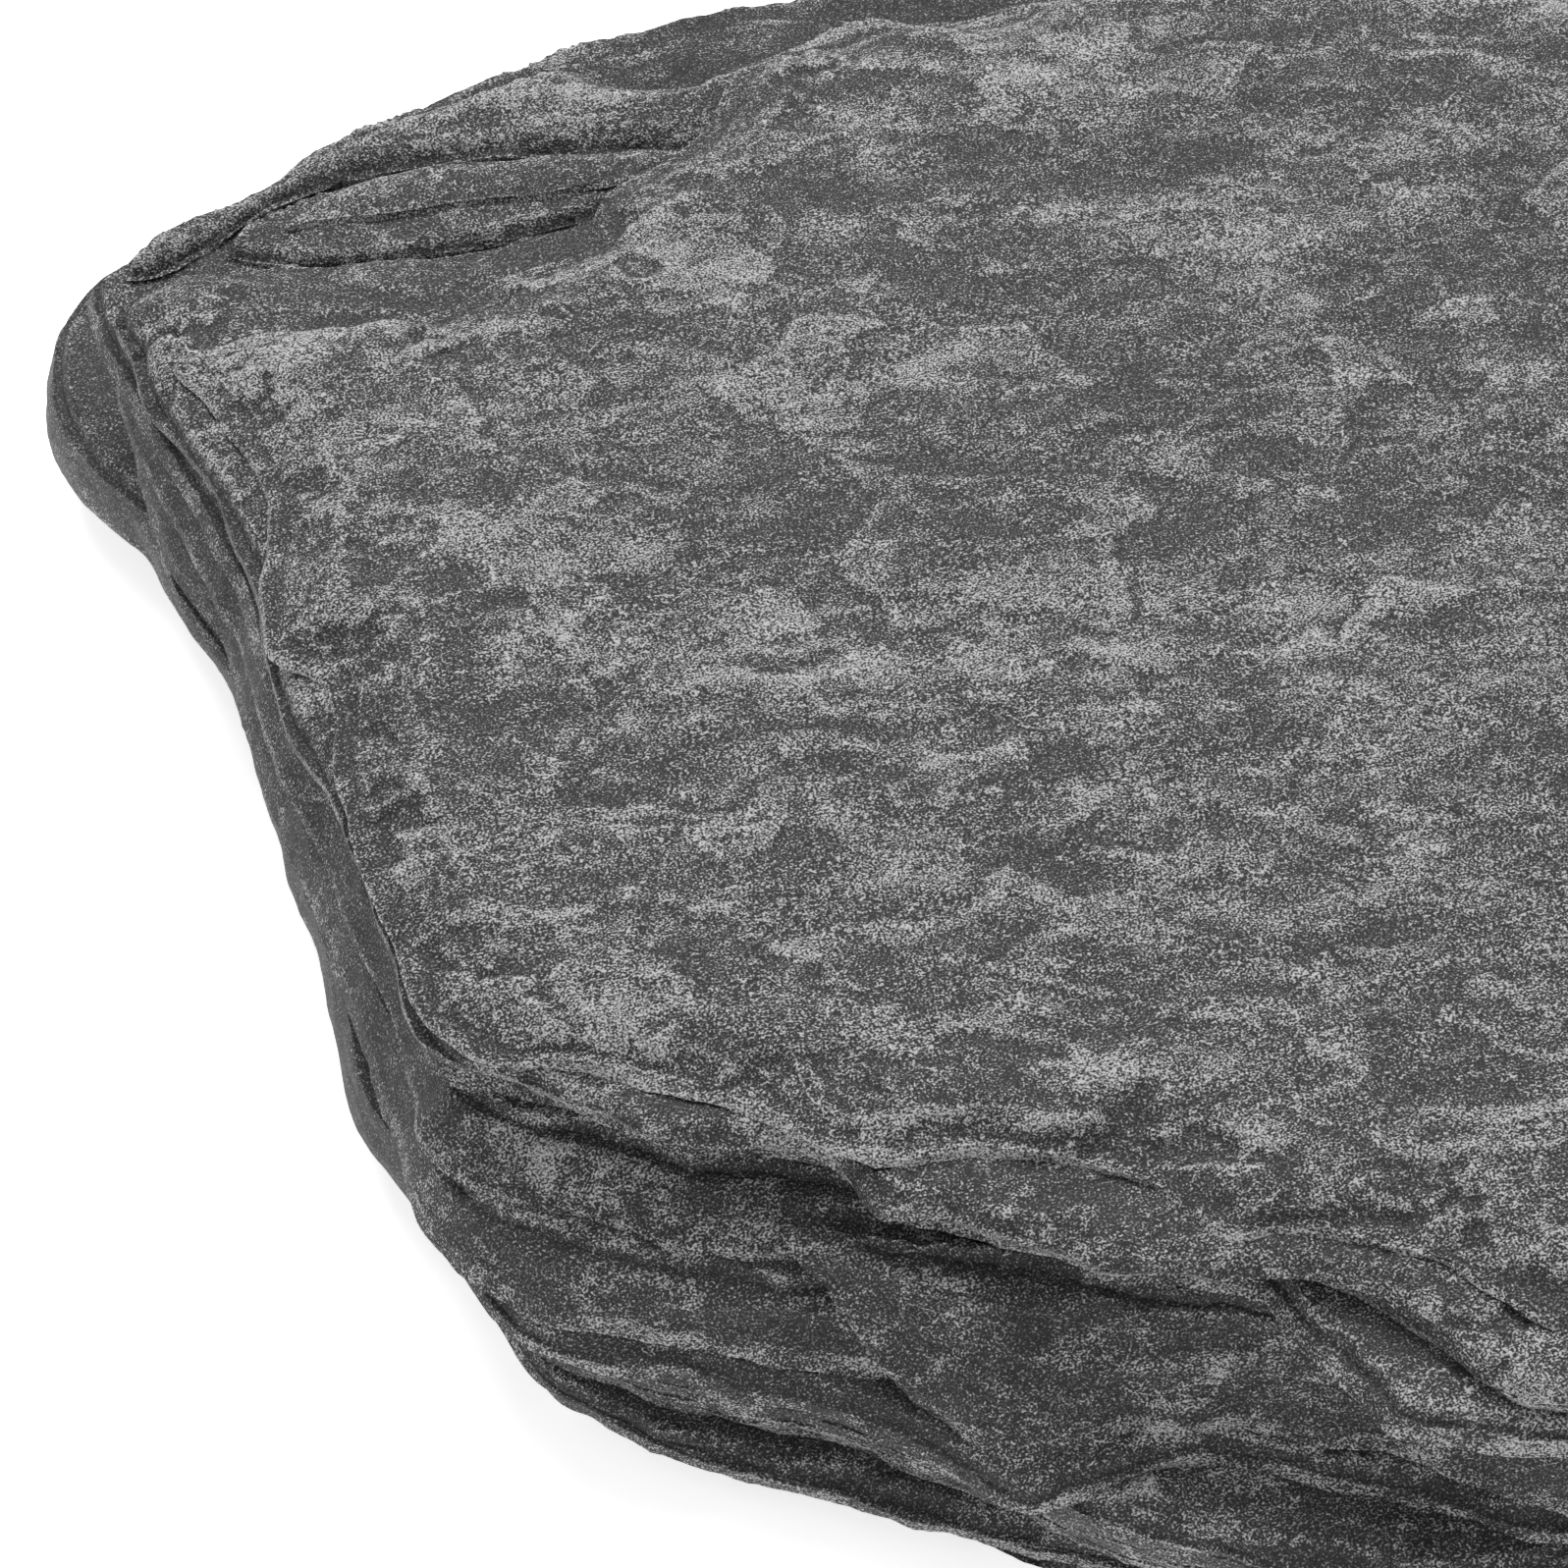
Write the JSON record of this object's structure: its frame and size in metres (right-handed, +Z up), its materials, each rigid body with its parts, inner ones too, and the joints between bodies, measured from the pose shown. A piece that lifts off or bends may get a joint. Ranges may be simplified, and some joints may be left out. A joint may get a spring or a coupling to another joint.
{
  "type": "massage stone",
  "caption": "Rough flat slab of cleft dark grey stone with stepped, thinly layered edges, lying on a flat bedding face.",
  "frame": {"origin": "centre of the stone's outline on the flat bedding face it rests on", "axes": "+X along the slab, away from the projecting nose; +Y to the back, away from the stepped front edge; +Z up, across the cleavage leaves"},
  "size_m": [0.1586, 0.1302, 0.0275],
  "materials": {
    "base_leaf_stone": "matte",
    "under_leaf_stone": "matte",
    "nose_slab_stone": "matte",
    "nose_leaf_stone": "matte",
    "ledge_slab_stone": "matte",
    "heart_slab_stone": "matte",
    "front_wedge_stone": "matte",
    "side_leaf_stone": "matte",
    "back_sliver_stone": "matte",
    "ridge_chip_stone": "matte",
    "back_leaf_stone": "matte",
    "lip_leaf_stone": "matte",
    "top_leaf_stone": "matte"
  },
  "bodies": {
    "root": {"base_leaf": "base_leaf_stone", "under_leaf": "under_leaf_stone", "nose_slab": "nose_slab_stone", "nose_leaf": "nose_leaf_stone", "ledge_slab": "ledge_slab_stone", "heart_slab": "heart_slab_stone", "front_wedge": "front_wedge_stone", "side_leaf": "side_leaf_stone", "back_sliver": "back_sliver_stone", "ridge_chip": "ridge_chip_stone", "back_leaf": "back_leaf_stone", "lip_leaf": "lip_leaf_stone", "top_leaf": "top_leaf_stone"}
  },
  "joints": []
}
